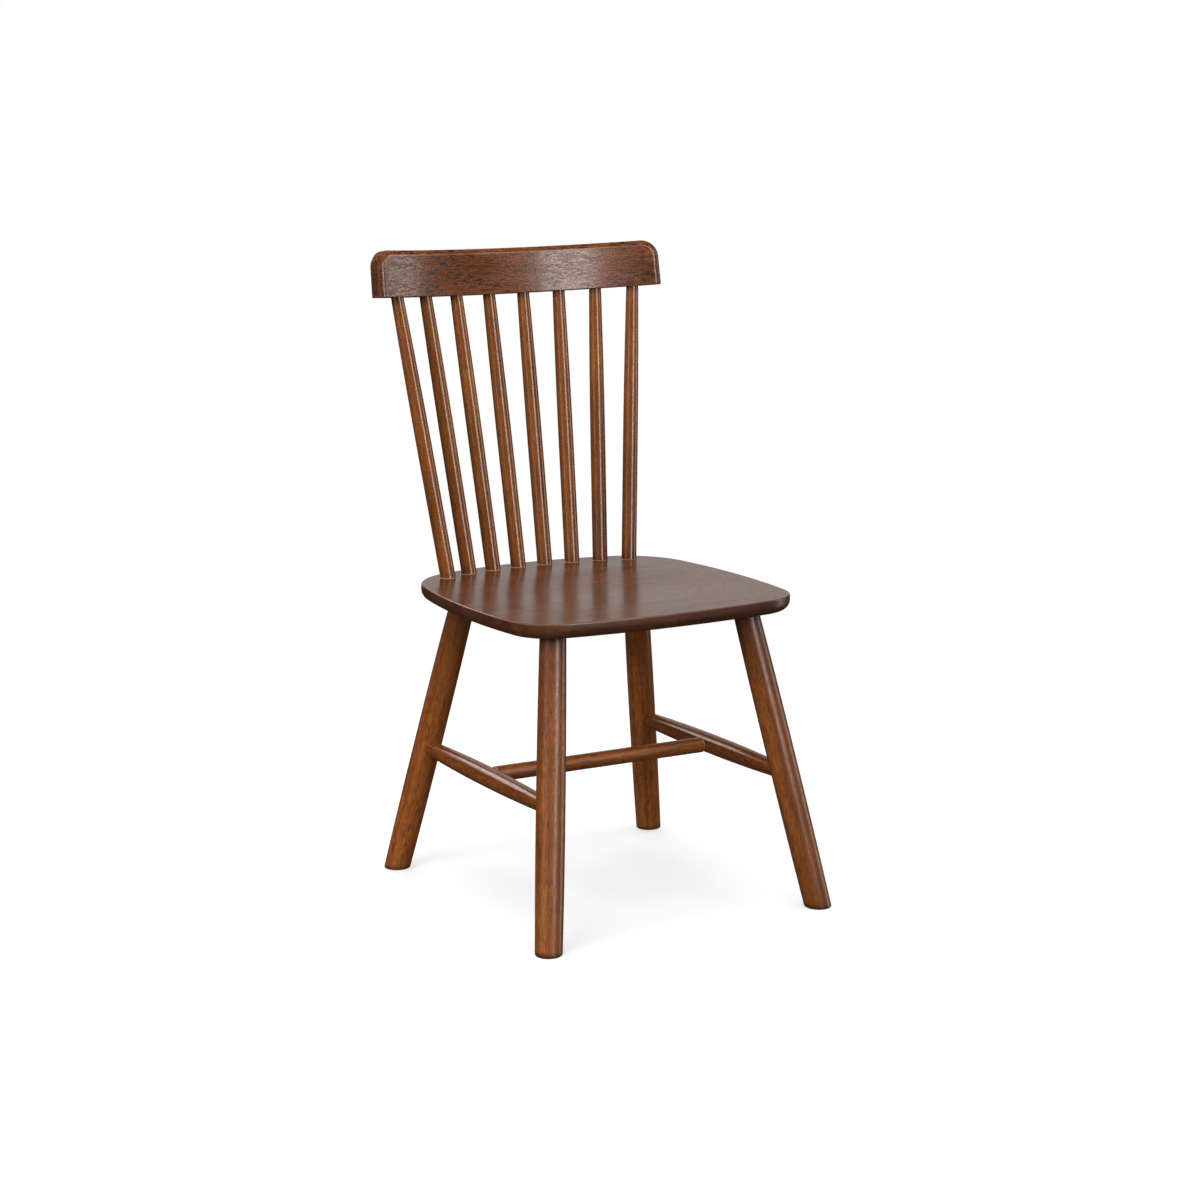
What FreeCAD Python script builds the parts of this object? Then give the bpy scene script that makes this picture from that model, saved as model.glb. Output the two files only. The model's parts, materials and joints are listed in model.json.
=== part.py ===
import FreeCAD, Part
import Sketcher
import math
import os

# Spindle-back dining chair in solid wood, in millimetres, +Z up, facing -Y.
# Left and right are those of someone who stands in front of the chair.
# Points are first worked out from the middle of the four feet on the floor.
# The whole chair is moved at the end, so that its box is centred on the origin.

Vector = FreeCAD.Vector
Rotation = FreeCAD.Rotation
Placement = FreeCAD.Placement
Constraint = Sketcher.Constraint

doc = FreeCAD.newDocument("SpindleBackChair")
sheet = doc.addObject("Spreadsheet::Sheet", "Sizes")

drivingSizes = [
    ("seatHeight", 450, "floor to the top of the seat"),
    ("seatThickness", 22.5, "seat board"),
    ("seatHalfWidth", 233, "middle to the widest point of the seat"),
    ("seatWidestForward", 25, "where the seat is widest, ahead of the middle of the feet"),
    ("seatFrontReach", 211, "middle of the feet to the front edge of the seat"),
    ("seatBackReach", 244.5, "middle of the feet to the back edge of the seat"),
    ("seatFrontBow", 1290, "radius of the front edge in plan"),
    ("seatSideBow", 965, "radius of the side edges in plan"),
    ("seatBackBow", 535, "radius of the back edge in plan"),
    ("seatFrontCorner", 71, "radius of the front corners in plan"),
    ("seatBackCorner", 109, "radius of the back corners in plan"),
    ("seatTopEase", 1.5, "flat ease on the top edge of the seat"),
    ("seatUnderRound", 14, "large round under the edge of the seat"),
    ("saddleDepth", 4, "depth of the hollow in the seat"),
    ("saddleHalfWidth", 176, "radius of the hollow in plan"),
    ("saddleMiddle", 10, "middle of the hollow, behind the middle of the feet"),
    ("footSideInset", 11.2, "centre of a foot, in from the widest point of the seat"),
    ("footHalfDepth", 241.3, "middle to the centre of a foot, front to back"),
    ("frontLegSideInset", 75.6, "top of a front leg, in from the widest point of the seat"),
    ("frontLegEdgeInset", 71, "top of a front leg, in from the front edge of the seat"),
    ("rearLegSideInset", 87.7, "top of a rear leg, in from the widest point of the seat"),
    ("rearLegEdgeInset", 90.1, "top of a rear leg, in from the back edge of the seat"),
    ("legFootDiameter", 38.4, "leg at the floor"),
    ("legMiddleDiameter", 41, "leg at half its length"),
    ("legTopDiameter", 37, "leg under the seat"),
    ("legStraight", 34, "even stretch of a leg, round the stretcher's socket"),
    ("legTenonDiameter", 25, "round tenon of a leg"),
    ("legTenonLength", 13, "leg tenon in the seat, along the leg"),
    ("footEase", 2, "flat ease on the edge of a foot"),
    ("stretcherHeight", 193, "floor to the middle of the stretchers"),
    ("sideStretcherEndDiameter", 22.8, "side stretcher where it enters a leg"),
    ("sideStretcherMiddleDiameter", 29.4, "side stretcher at its middle"),
    ("sideStretcherStraight", 20, "even stretch of a side stretcher, round the cross stretcher's socket"),
    ("sideTenonPast", 5, "end of a side stretcher, past the middle line of the leg"),
    ("crossStretcherBack", 6, "cross stretcher, behind the middle of the feet"),
    ("crossStretcherDiameter", 23, "cross stretcher"),
    ("crossStretcherEase", 1, "flat ease on the ends of the cross stretcher"),
    ("crossTenonDiameter", 12, "round tenon of the cross stretcher"),
    ("crossTenonLength", 14, "cross stretcher tenon in a side stretcher"),
    ("spindleFootPitch", 45.4, "spacing of the spindles round the seat"),
    ("spindleTopPitch", 58.4, "spacing of the spindles along the crest rail"),
    ("spindleInset", 28, "centres of the spindle feet, in from the edge of the seat"),
    ("spindleDiameter", 22.8, "spindle, from the seat to where its taper starts"),
    ("spindleTaperStart", 165, "seat to the start of the taper, along the spindle"),
    ("spindleTopDiameter", 18.6, "spindle under the crest rail"),
    ("spindleFootDepth", 15, "lower end of a spindle in the seat, along the spindle"),
    ("spindleTopDepth", 25, "upper end of a spindle in the crest rail, along the spindle"),
    ("crestRise", 405.9, "top of the seat to the middle of the crest rail's bottom face"),
    ("crestSetback", 48.7, "middle of the crest rail's bottom face, behind the back edge of the seat"),
    ("crestLean", 8.5, "degrees that the crest rail leans back"),
    ("crestBend", 540, "radius of the crest rail's middle line in plan"),
    ("crestLength", 497.5, "crest rail along its bend, at the bottom"),
    ("crestHeight", 68.5, "crest rail, bottom to top"),
    ("crestThickness", 24, "crest rail, front to back"),
    ("crestEndFlare", 1.5, "degrees that the ends spread towards the bottom"),
    ("crestCornerRadius", 22, "top corners of the crest rail"),
    ("crestFrontRound", 8, "round on the front of the crest rail's top and end edges"),
    ("crestBackEase", 3, "flat ease on the back of the crest rail's top and end edges"),
    ("glueGap", 0.1, "glue film round each tenon"),
    ("socketSpare", 1, "room past the end of each tenon"),
]
spindleCount = 8

for row, (alias, number, note) in enumerate(drivingSizes, start=1):
    sheet.set(f"A{row}", note)
    sheet.set(f"B{row}", str(number))
    sheet.setAlias(f"B{row}", alias)
doc.recompute()


def size(alias):
    return float(sheet.get(alias))


up = Vector(0, 0, 1)
cutReach = 2 * size("seatThickness") + size("legMiddleDiameter")
overlap = 1
sparePlank = 20


def bind(feature, **expressions):
    """Ties properties of a feature to cells of the sheet."""
    for name, expression in expressions.items():
        feature.setExpression(name, expression)


def newBody(label, placement):
    body = doc.addObject("PartDesign::Body", label)
    body.Label = label
    body.Placement = placement
    return body


def newSketch(body, name, role):
    sketch = body.newObject("Sketcher::SketchObject", name)
    plane = [item for item in body.Origin.OriginFeatures if item.Role == role][0]
    sketch.AttachmentSupport = [(plane, "")]
    sketch.MapMode = "FlatFace"
    return sketch


def driveLast(sketch, name, expression):
    """Names the sketch's newest constraint and ties it to the sheet."""
    sketch.renameConstraint(sketch.ConstraintCount - 1, name)
    sketch.setExpression(f"Constraints.{name}", expression)


def edgesWhere(shape, test):
    """Names of the edges on which every sampled point passes the test."""
    names = []
    for number, edge in enumerate(shape.Edges, start=1):
        first, last = edge.ParameterRange
        samples = [edge.valueAt(first + (last - first) * share) for share in (0, 0.3, 0.6, 1)]
        if all(test(point) for point in samples):
            names.append(f"Edge{number}")
    return names


def roundEdges(body, name, edges, radius):
    base = body.Tip
    fillet = body.newObject("PartDesign::Fillet", name)
    fillet.Base = (base, edges)
    bind(fillet, Radius=radius)
    doc.recompute()


def easeEdges(body, name, edges, width):
    base = body.Tip
    chamfer = body.newObject("PartDesign::Chamfer", name)
    chamfer.Base = (base, edges)
    bind(chamfer, Size=width)
    doc.recompute()


def alongLine(start, end):
    """A placement at start whose Z axis points to end."""
    return Placement(start, Rotation(up, end - start))


def moved(placement, distance):
    """The same placement, further along its own Z axis."""
    return placement * Placement(Vector(0, 0, distance), Rotation())


def localTo(body, placement):
    return body.Placement.inverse() * placement


# A cut or an added cylinder is given by a placement in the chair's frame.
# Its Z axis points out of the piece at a shoulder, or into it at a socket.
def trimBeyond(body, name, plane):
    """Cuts away what lies beyond a plane, on the side that its Z axis points to."""
    block = body.newObject("PartDesign::SubtractiveBox", name)
    side = 2 * cutReach
    block.Length = side
    block.Width = side
    block.Height = side
    block.Placement = localTo(body, plane * Placement(Vector(-side / 2, -side / 2, 0), Rotation()))
    doc.recompute()


def addTenon(body, name, shoulder, diameter, length, root):
    """A round tenon that starts at depth root inside the piece."""
    tenon = body.newObject("PartDesign::AdditiveCylinder", name)
    bind(tenon, Radius=f"Sizes.{diameter} / 2", Height=f"Sizes.{length} + {root}")
    tenon.Placement = localTo(body, moved(shoulder, -root))
    doc.recompute()


def cutSocket(body, name, mouth, diameter, length, lead):
    """A blind round socket for a tenon. It starts at distance lead outside its mouth."""
    socket = body.newObject("PartDesign::SubtractiveCylinder", name)
    bind(
        socket,
        Radius=f"Sizes.{diameter} / 2 + Sizes.glueGap",
        Height=f"{length} + Sizes.socketSpare + {lead}",
    )
    socket.Placement = localTo(body, moved(mouth, -lead))
    doc.recompute()


def slantReach(diameter, direction, normal):
    """How far a slanted plane runs up or down the side of a round stick."""
    return size(diameter) / 2 * math.tan(direction.getAngle(normal))


def heading(centre, point):
    return math.atan2(point.y - centre.y, point.x - centre.x)


def taperArc(low, high):
    """Arc between two points of a turned profile. It leaves the thicker one parallel to the axis."""
    rise = high.y - low.y
    drop = abs(high.x - low.x)
    radius = (rise ** 2 + drop ** 2) / (2 * drop)
    turn = math.asin(rise / radius)
    thickIsLow = low.x > high.x
    thick = low if thickIsLow else high
    circle = Part.Circle(Vector(thick.x - radius, thick.y, 0), up, radius)
    return Part.ArcOfCircle(circle, 0, turn) if thickIsLow else Part.ArcOfCircle(circle, -turn, 0)


def turnedShaft(body, stretches):
    """Revolves a profile of even stretches (diameter, bottom, top on Z), joined by tapering arcs."""
    sketch = newSketch(body, f"{body.Label}_profile", "XZ_Plane")
    radii = [size(diameter) / 2 for diameter, bottom, top in stretches]
    bottoms = [Vector(radius, bottom, 0) for radius, (diameter, bottom, top) in zip(radii, stretches)]
    tops = [Vector(radius, top, 0) for radius, (diameter, bottom, top) in zip(radii, stretches)]
    outline = [Part.LineSegment(Vector(0, bottoms[0].y, 0), bottoms[0])]
    for number in range(len(stretches)):
        outline.append(Part.LineSegment(bottoms[number], tops[number]))
        if number + 1 < len(stretches):
            outline.append(taperArc(tops[number], bottoms[number + 1]))
    outline.append(Part.LineSegment(tops[-1], Vector(0, tops[-1].y, 0)))
    outline.append(Part.LineSegment(Vector(0, tops[-1].y, 0), Vector(0, bottoms[0].y, 0)))
    for curve in outline:
        sketch.addGeometry(curve, False)
    axis = len(outline) - 1
    tangentJoins = set()
    for number in range(len(stretches) - 1):
        line = 2 * number + 1
        tangentJoins.add(line if radii[number] > radii[number + 1] else line + 1)
    for join in range(len(outline)):
        kind = "Tangent" if join in tangentJoins else "Coincident"
        sketch.addConstraint(Constraint(kind, join, 2, (join + 1) % len(outline), 1))
    sketch.addConstraint([
        Constraint("Horizontal", 0),
        Constraint("Horizontal", axis - 1),
        Constraint("PointOnObject", axis, 1, -2),
        Constraint("PointOnObject", axis, 2, -2),
    ])
    for number, (diameter, bottom, top) in enumerate(stretches):
        line = 2 * number + 1
        sketch.addConstraint([
            Constraint("Vertical", line),
            Constraint("DistanceY", -1, 1, line, 1, bottom),
            Constraint("DistanceY", -1, 1, line, 2, top),
            Constraint("DistanceX", -1, 1, line, 1, radii[number]),
        ])
        driveLast(sketch, f"radius{number}", f"Sizes.{diameter} / 2")
    shaft = body.newObject("PartDesign::Revolution", f"{body.Label}_shaft")
    shaft.Profile = sketch
    shaft.ReferenceAxis = (sketch, ["V_Axis"])
    shaft.Angle = 360
    doc.recompute()


# The seat's outline is eight arcs, each tangent to the next, the same left and right.
def insideTangent(centreA, bowA, centreB, bowB, corner, towards):
    """Centre of a corner arc that lies inside two larger arcs and touches both."""
    reachA = size(bowA) - size(corner)
    reachB = size(bowB) - size(corner)
    apart = centreB - centreA
    along = (reachA ** 2 - reachB ** 2 + apart.Length ** 2) / (2 * apart.Length)
    aside = math.sqrt(reachA ** 2 - along ** 2)
    direction = apart.normalize()
    across = Vector(-direction.y, direction.x, 0)
    options = [centreA + direction * along + across * (aside * sign) for sign in (1, -1)]
    return max(options, key=lambda point: point.dot(towards))


frontCentre = Vector(0, size("seatFrontBow") - size("seatFrontReach"), 0)
backCentre = Vector(0, size("seatBackReach") - size("seatBackBow"), 0)
sideCentre = Vector(size("seatHalfWidth") - size("seatSideBow"), -size("seatWidestForward"), 0)
frontCornerCentre = insideTangent(
    frontCentre, "seatFrontBow", sideCentre, "seatSideBow", "seatFrontCorner", Vector(1, -1, 0)
)
backCornerCentre = insideTangent(
    backCentre, "seatBackBow", sideCentre, "seatSideBow", "seatBackCorner", Vector(1, 1, 0)
)


def mirrored(point):
    return Vector(-point.x, point.y, point.z)


def seatOutline(body):
    front = heading(frontCentre, frontCornerCentre)
    sideFront = heading(sideCentre, frontCornerCentre)
    sideBack = heading(sideCentre, backCornerCentre)
    back = heading(backCentre, backCornerCentre)
    turn = math.pi
    arcs = [
        (frontCentre, "seatFrontBow", -turn - front, front),
        (frontCornerCentre, "seatFrontCorner", front, sideFront),
        (sideCentre, "seatSideBow", sideFront, sideBack),
        (backCornerCentre, "seatBackCorner", sideBack, back),
        (backCentre, "seatBackBow", back, turn - back),
        (mirrored(backCornerCentre), "seatBackCorner", turn - back, turn - sideBack),
        (mirrored(sideCentre), "seatSideBow", turn - sideBack, turn - sideFront),
        (mirrored(frontCornerCentre), "seatFrontCorner", turn - sideFront, turn - front),
    ]
    sketch = newSketch(body, "seat_outline", "XY_Plane")
    for centre, radius, first, last in arcs:
        circle = Part.Circle(centre, up, size(radius))
        sketch.addGeometry(Part.ArcOfCircle(circle, first, last), False)
    for number in range(len(arcs)):
        sketch.addConstraint(Constraint("Tangent", number, 2, (number + 1) % len(arcs), 1))
    for number, (centre, radius, first, last) in enumerate(arcs):
        sketch.addConstraint(Constraint("Radius", number, size(radius)))
        driveLast(sketch, f"radius{number}", f"Sizes.{radius}")
    for number in (0, 4):
        sketch.addConstraint(Constraint("PointOnObject", number, 3, -2))
    sketch.addConstraint(Constraint("DistanceY", -1, 1, 0, 3, frontCentre.y))
    driveLast(sketch, "frontCentre", "Sizes.seatFrontBow - Sizes.seatFrontReach")
    sketch.addConstraint(Constraint("DistanceY", 4, 3, -1, 1, -backCentre.y))
    driveLast(sketch, "backCentre", "Sizes.seatBackBow - Sizes.seatBackReach")
    for number, first, last in ((2, (2, 3), (-1, 1)), (6, (-1, 1), (6, 3))):
        sketch.addConstraint(Constraint("DistanceX", *first, *last, -sideCentre.x))
        driveLast(sketch, f"sideCentre{number}", "Sizes.seatSideBow - Sizes.seatHalfWidth")
        sketch.addConstraint(Constraint("DistanceY", number, 3, -1, 1, -sideCentre.y))
        driveLast(sketch, f"widest{number}", "Sizes.seatWidestForward")
    return sketch


def spindleFoot(place):
    """Centre of a spindle foot, at a length along the curve that lies inside the seat's back edge."""
    distance = abs(place)
    inset = size("spindleInset")
    backRadius = size("seatBackBow") - inset
    cornerRadius = size("seatBackCorner") - inset
    tangentAngle = math.pi / 2 - heading(backCentre, backCornerCentre)
    if distance <= backRadius * tangentAngle:
        angle = distance / backRadius
        centre, radius = backCentre, backRadius
    else:
        angle = tangentAngle + (distance - backRadius * tangentAngle) / cornerRadius
        centre, radius = backCornerCentre, cornerRadius
    x = centre.x + radius * math.sin(angle)
    y = centre.y + radius * math.cos(angle)
    return Vector(math.copysign(x, place), y, size("seatHeight"))


# The crest rail's own frame stands at the middle of its bottom face and leans back with it.
crestPlace = Placement(
    Vector(0, size("seatBackReach") + size("crestSetback"), size("seatHeight") + size("crestRise")),
    Rotation(Vector(1, 0, 0), -size("crestLean")),
)
crestUp = crestPlace.Rotation.multVec(up)


def crestPoint(place):
    """Point of the crest rail's bottom face, at a length along its middle line."""
    bend = size("crestBend")
    angle = place / bend
    return crestPlace.multVec(Vector(bend * math.sin(angle), bend * (math.cos(angle) - 1), 0))


spindleAxes = []
for number in range(spindleCount):
    step = number - (spindleCount - 1) / 2
    foot = spindleFoot(step * size("spindleFootPitch"))
    head = crestPoint(step * size("spindleTopPitch"))
    spindleAxes.append((foot, head))

undersideHeight = size("seatHeight") - size("seatThickness")
halfWidth = size("seatHalfWidth")
legAxes = {}
for end, sign, seatEdge in (("front", -1, "seatFrontReach"), ("rear", 1, "seatBackReach")):
    for side, hand in (("left", -1), ("right", 1)):
        floorPoint = Vector(hand * (halfWidth - size("footSideInset")), sign * size("footHalfDepth"), 0)
        seatPoint = Vector(
            hand * (halfWidth - size(f"{end}LegSideInset")),
            sign * (size(seatEdge) - size(f"{end}LegEdgeInset")),
            undersideHeight,
        )
        legAxes[end, side] = (floorPoint, seatPoint)


def pointAtHeight(axis, height):
    low, high = axis
    return low + (high - low) * ((height - low.z) / (high.z - low.z))


sideAxes = {
    side: tuple(pointAtHeight(legAxes[end, side], size("stretcherHeight")) for end in ("front", "rear"))
    for side in ("left", "right")
}


def pointAtDepth(axis, y):
    front, rear = axis
    return front + (rear - front) * ((y - front.y) / (rear.y - front.y))


crossAxis = tuple(pointAtDepth(sideAxes[side], size("crossStretcherBack")) for side in ("left", "right"))


# Seat: a padded outline with a small round above and a large one below, a shallow
# saddle, and blind sockets bored at the rake and splay of each leg and spindle.
def makeSeat():
    body = newBody("seat", Placement(Vector(0, 0, size("seatHeight")), Rotation()))
    board = body.newObject("PartDesign::Pad", "seat_board")
    board.Profile = seatOutline(body)
    board.Reversed = True
    bind(board, Length="Sizes.seatThickness")
    doc.recompute()
    thickness = size("seatThickness")
    under = edgesWhere(board.Shape, lambda point: abs(point.z + thickness) < 0.01)
    roundEdges(body, "seat_under_round", under, "Sizes.seatUnderRound")
    above = edgesWhere(body.Tip.Shape, lambda point: abs(point.z) < 0.01)
    easeEdges(body, "seat_top_ease", above, "Sizes.seatTopEase")
    # The saddle is the cap of a large sphere. The sphere's poles lie to the sides, away from the cap.
    depth = size("saddleDepth")
    sphereRadius = (size("saddleHalfWidth") ** 2 + depth ** 2) / (2 * depth)
    saddle = body.newObject("PartDesign::SubtractiveSphere", "seat_saddle")
    bind(saddle, Radius="(Sizes.saddleHalfWidth ^ 2 + Sizes.saddleDepth ^ 2) / (2 * Sizes.saddleDepth)")
    saddle.Placement = Placement(
        Vector(0, size("saddleMiddle"), sphereRadius - depth), Rotation(Vector(1, 0, 0), 90)
    )
    doc.recompute()
    for (end, side), (floorPoint, seatPoint) in legAxes.items():
        lead = slantReach("legTenonDiameter", seatPoint - floorPoint, up) + overlap
        mouth = moved(alongLine(floorPoint, seatPoint), (seatPoint - floorPoint).Length)
        cutSocket(body, f"leg_socket_{end}_{side}", mouth, "legTenonDiameter", "Sizes.legTenonLength", lead)
    for number, (foot, head) in enumerate(spindleAxes, start=1):
        lead = slantReach("spindleDiameter", head - foot, up) + overlap
        mouth = alongLine(foot, foot * 2 - head)
        cutSocket(body, f"spindle_socket_{number}", mouth, "spindleDiameter", "Sizes.spindleFootDepth", lead)
    return body


# Legs: turned with a slight belly, cut level with the floor and with the underside of the seat.
def makeLeg(end, side):
    floorPoint, seatPoint = legAxes[end, side]
    axis = alongLine(floorPoint, seatPoint)
    direction = seatPoint - floorPoint
    length = direction.Length
    body = newBody(f"leg_{end}_{side}", axis)
    reach = slantReach("legMiddleDiameter", direction, up) + overlap
    front, rear = sideAxes[side]
    near, far = (front, rear) if end == "front" else (rear, front)
    socketAt = (near - floorPoint).Length
    halfStraight = size("legStraight") / 2
    turnedShaft(body, [
        ("legFootDiameter", -reach, reach + 2 * size("footEase")),
        ("legMiddleDiameter", socketAt - halfStraight, socketAt + halfStraight),
        ("legTopDiameter", length - reach, length + reach),
    ])
    trimBeyond(body, f"{body.Label}_floor_cut", Placement(floorPoint, Rotation(Vector(1, 0, 0), 180)))
    trimBeyond(body, f"{body.Label}_shoulder", Placement(seatPoint, Rotation()))
    onFloor = edgesWhere(body.Tip.Shape, lambda point: abs(body.Placement.multVec(point).z) < 0.01)
    easeEdges(body, f"{body.Label}_foot_ease", onFloor, "Sizes.footEase")
    addTenon(body, f"{body.Label}_tenon", moved(axis, length), "legTenonDiameter", "legTenonLength", reach)
    cutSocket(
        body,
        f"{body.Label}_stretcher_socket",
        alongLine(near, near * 2 - far),
        "sideStretcherEndDiameter",
        "Sizes.sideTenonPast",
        size("legMiddleDiameter"),
    )
    return body


# Side stretchers: thickest in the middle, with straight ends that enter the legs.
def makeSideStretcher(side):
    front, rear = sideAxes[side]
    length = (rear - front).Length
    body = newBody(f"side_stretcher_{side}", alongLine(front, rear))
    straight = {}
    for end in ("front", "rear"):
        floorPoint, seatPoint = legAxes[end, side]
        offSquare = abs(math.pi / 2 - (seatPoint - floorPoint).getAngle(rear - front))
        straight[end] = (
            size("legMiddleDiameter") / 2 / math.cos(offSquare)
            + size("sideStretcherEndDiameter") / 2 * math.tan(offSquare)
            + overlap
        )
    middle, other = crossAxis if side == "left" else reversed(crossAxis)
    middleAt = (middle - front).Length
    halfStraight = size("sideStretcherStraight") / 2
    past = size("sideTenonPast")
    turnedShaft(body, [
        ("sideStretcherEndDiameter", -past, straight["front"]),
        ("sideStretcherMiddleDiameter", middleAt - halfStraight, middleAt + halfStraight),
        ("sideStretcherEndDiameter", length - straight["rear"], length + past),
    ])
    surface = size("sideStretcherMiddleDiameter") / 2
    mouth = moved(alongLine(middle, middle * 2 - other), -surface)
    name = f"{body.Label}_cross_socket"
    cutSocket(body, name, mouth, "crossTenonDiameter", "Sizes.crossTenonLength", surface)
    return body


# Cross stretcher: an even round bar, with blunt eased ends against the side stretchers.
def makeCrossStretcher():
    left, right = crossAxis
    axis = alongLine(left, right)
    shoulderGap = size("sideStretcherMiddleDiameter") / 2 + 2 * size("glueGap")
    length = (right - left).Length - 2 * shoulderGap
    start = moved(axis, shoulderGap)
    body = newBody("cross_stretcher", start)
    bar = body.newObject("PartDesign::AdditiveCylinder", "cross_stretcher_bar")
    bind(bar, Radius="Sizes.crossStretcherDiameter / 2")
    bar.Height = length
    doc.recompute()
    ends = edgesWhere(bar.Shape, lambda point: abs(point.z) < 0.01)
    ends += edgesWhere(bar.Shape, lambda point: abs(point.z - length) < 0.01)
    easeEdges(body, "cross_stretcher_ease", ends, "Sizes.crossStretcherEase")
    for side, shoulder in (("left", alongLine(start.Base, left)), ("right", moved(start, length))):
        addTenon(body, f"cross_tenon_{side}", shoulder, "crossTenonDiameter", "crossTenonLength", overlap)
    return body


# Spindles: slender, tapered to the top, each with its own rake. Their ends enter the seat and
# the crest rail at full thickness.
def makeSpindle(number, foot, head):
    length = (head - foot).Length
    body = newBody(f"spindle_{number}", alongLine(foot, head))
    turnedShaft(body, [
        ("spindleDiameter", -size("spindleFootDepth"), size("spindleTaperStart")),
        ("spindleTopDiameter", length - overlap, length + size("spindleTopDepth")),
    ])
    return body


# Crest rail: a bent plank that leans back, with flared ends, rounded top corners, a large
# round in front along its top and ends, and eight blind sockets that fan out.
def makeCrestRail():
    body = newBody("crest_rail", crestPlace)
    bend = size("crestBend")
    halfThickness = size("crestThickness") / 2
    halfAngle = size("crestLength") / 2 / bend
    padAngle = halfAngle + sparePlank / bend
    centre = Vector(0, -bend, 0)
    frontCircle = Part.Circle(centre, up, bend - halfThickness)
    backCircle = Part.Circle(centre, up, bend + halfThickness)
    first = math.pi / 2 - padAngle
    last = math.pi / 2 + padAngle
    frontArc = Part.ArcOfCircle(frontCircle, first, last)
    backArc = Part.ArcOfCircle(backCircle, first, last)
    sketch = newSketch(body, "crest_rail_plan", "XY_Plane")
    sketch.addGeometry(frontArc, False)
    sketch.addGeometry(Part.LineSegment(frontArc.EndPoint, backArc.EndPoint), False)
    sketch.addGeometry(backArc, False)
    sketch.addGeometry(Part.LineSegment(backArc.StartPoint, frontArc.StartPoint), False)
    sketch.addConstraint([
        Constraint("Coincident", 0, 2, 1, 1),
        Constraint("Coincident", 1, 2, 2, 2),
        Constraint("Coincident", 2, 1, 3, 1),
        Constraint("Coincident", 3, 2, 0, 1),
        Constraint("Coincident", 0, 3, 2, 3),
        Constraint("PointOnObject", 0, 3, -2),
        Constraint("PointOnObject", 0, 3, 1),
        Constraint("PointOnObject", 0, 3, 3),
        Constraint("Horizontal", 0, 1, 0, 2),
        Constraint("DistanceX", 0, 2, 0, 1, 2 * frontArc.StartPoint.x),
    ])
    sketch.addConstraint(Constraint("DistanceY", 0, 3, -1, 1, bend))
    driveLast(sketch, "bend", "Sizes.crestBend")
    sketch.addConstraint(Constraint("Radius", 0, frontCircle.Radius))
    driveLast(sketch, "frontRadius", "Sizes.crestBend - Sizes.crestThickness / 2")
    sketch.addConstraint(Constraint("Radius", 2, backCircle.Radius))
    driveLast(sketch, "backRadius", "Sizes.crestBend + Sizes.crestThickness / 2")
    plank = body.newObject("PartDesign::Pad", "crest_rail_plank")
    plank.Profile = sketch
    bind(plank, Length="Sizes.crestHeight")
    doc.recompute()
    for side, hand in (("left", -1), ("right", 1)):
        endPoint = Vector(hand * bend * math.sin(halfAngle), bend * (math.cos(halfAngle) - 1), 0)
        square = Rotation(up, math.degrees(-hand * halfAngle)) * Rotation(Vector(0, 1, 0), hand * 90)
        flare = Rotation(square.multVec(Vector(0, 1, 0)), -hand * size("crestEndFlare"))
        trimBeyond(body, f"crest_rail_end_{side}", crestPlace * Placement(endPoint, flare * square))
    height = size("crestHeight")
    nearEnds = bend * math.sin(halfAngle) - sparePlank
    corners = edgesWhere(
        body.Tip.Shape, lambda point: abs(point.z - height) < 0.01 and abs(point.x) > nearEnds
    )
    roundEdges(body, "crest_rail_corners", corners, "Sizes.crestCornerRadius")

    def onFace(point, sign):
        fromCentre = math.hypot(point.x, point.y + bend)
        return abs(fromCentre - bend - sign * halfThickness) < 0.01

    def rim(sign):
        shape = body.Tip.Shape
        names = edgesWhere(shape, lambda point: onFace(point, sign))
        return [name for name in names if max(vertex.Z for vertex in shape.getElement(name).Vertexes) > 0.01]

    roundEdges(body, "crest_rail_front_round", rim(-1), "Sizes.crestFrontRound")
    easeEdges(body, "crest_rail_back_ease", rim(1), "Sizes.crestBackEase")
    for number, (foot, head) in enumerate(spindleAxes, start=1):
        lead = slantReach("spindleTopDiameter", head - foot, crestUp) + overlap
        mouth = moved(alongLine(foot, head), (head - foot).Length)
        cutSocket(body, f"crest_socket_{number}", mouth, "spindleTopDiameter", "Sizes.spindleTopDepth", lead)
    return body


pieces = [makeSeat(), makeCrestRail()]
for number, (foot, head) in enumerate(spindleAxes, start=1):
    pieces.append(makeSpindle(number, foot, head))
for end, side in legAxes:
    pieces.append(makeLeg(end, side))
for side in sideAxes:
    pieces.append(makeSideStretcher(side))
pieces.append(makeCrossStretcher())
doc.recompute()

# The box of the whole chair is centred on the origin, with the feet on the floor.
boxes = [piece.Shape.optimalBoundingBox(False, False) for piece in pieces]
centreX = (min(box.XMin for box in boxes) + max(box.XMax for box in boxes)) / 2
centreY = (min(box.YMin for box in boxes) + max(box.YMax for box in boxes)) / 2
toOrigin = Placement(Vector(-centreX, -centreY, 0), Rotation())
for piece in pieces:
    piece.Placement = toOrigin * piece.Placement
doc.recompute()
print(f"middle of the feet lies at y = {-centreY:.3f}")
print(f"height {max(box.ZMax for box in boxes):.2f}")

for item in doc.Objects:
    if "Invalid" in item.State or "Error" in item.State:
        raise RuntimeError(f"{item.Label} failed: {item.State}")
for piece in pieces:
    if piece.Shape.isNull() or not piece.Shape.isValid() or len(piece.Shape.Solids) != 1:
        raise RuntimeError(f"{piece.Label} is not one sound solid")

os.makedirs("parts", exist_ok=True)
for piece in pieces:
    piece.Shape.exportStep(f"parts/{piece.Label}.step")
    print(f"{piece.Label}: {piece.Shape.Volume / 1000:.1f} cm3")
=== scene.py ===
import bmesh
import bpy
import json
import math
import numpy as np
from mathutils import Matrix, Vector


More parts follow.
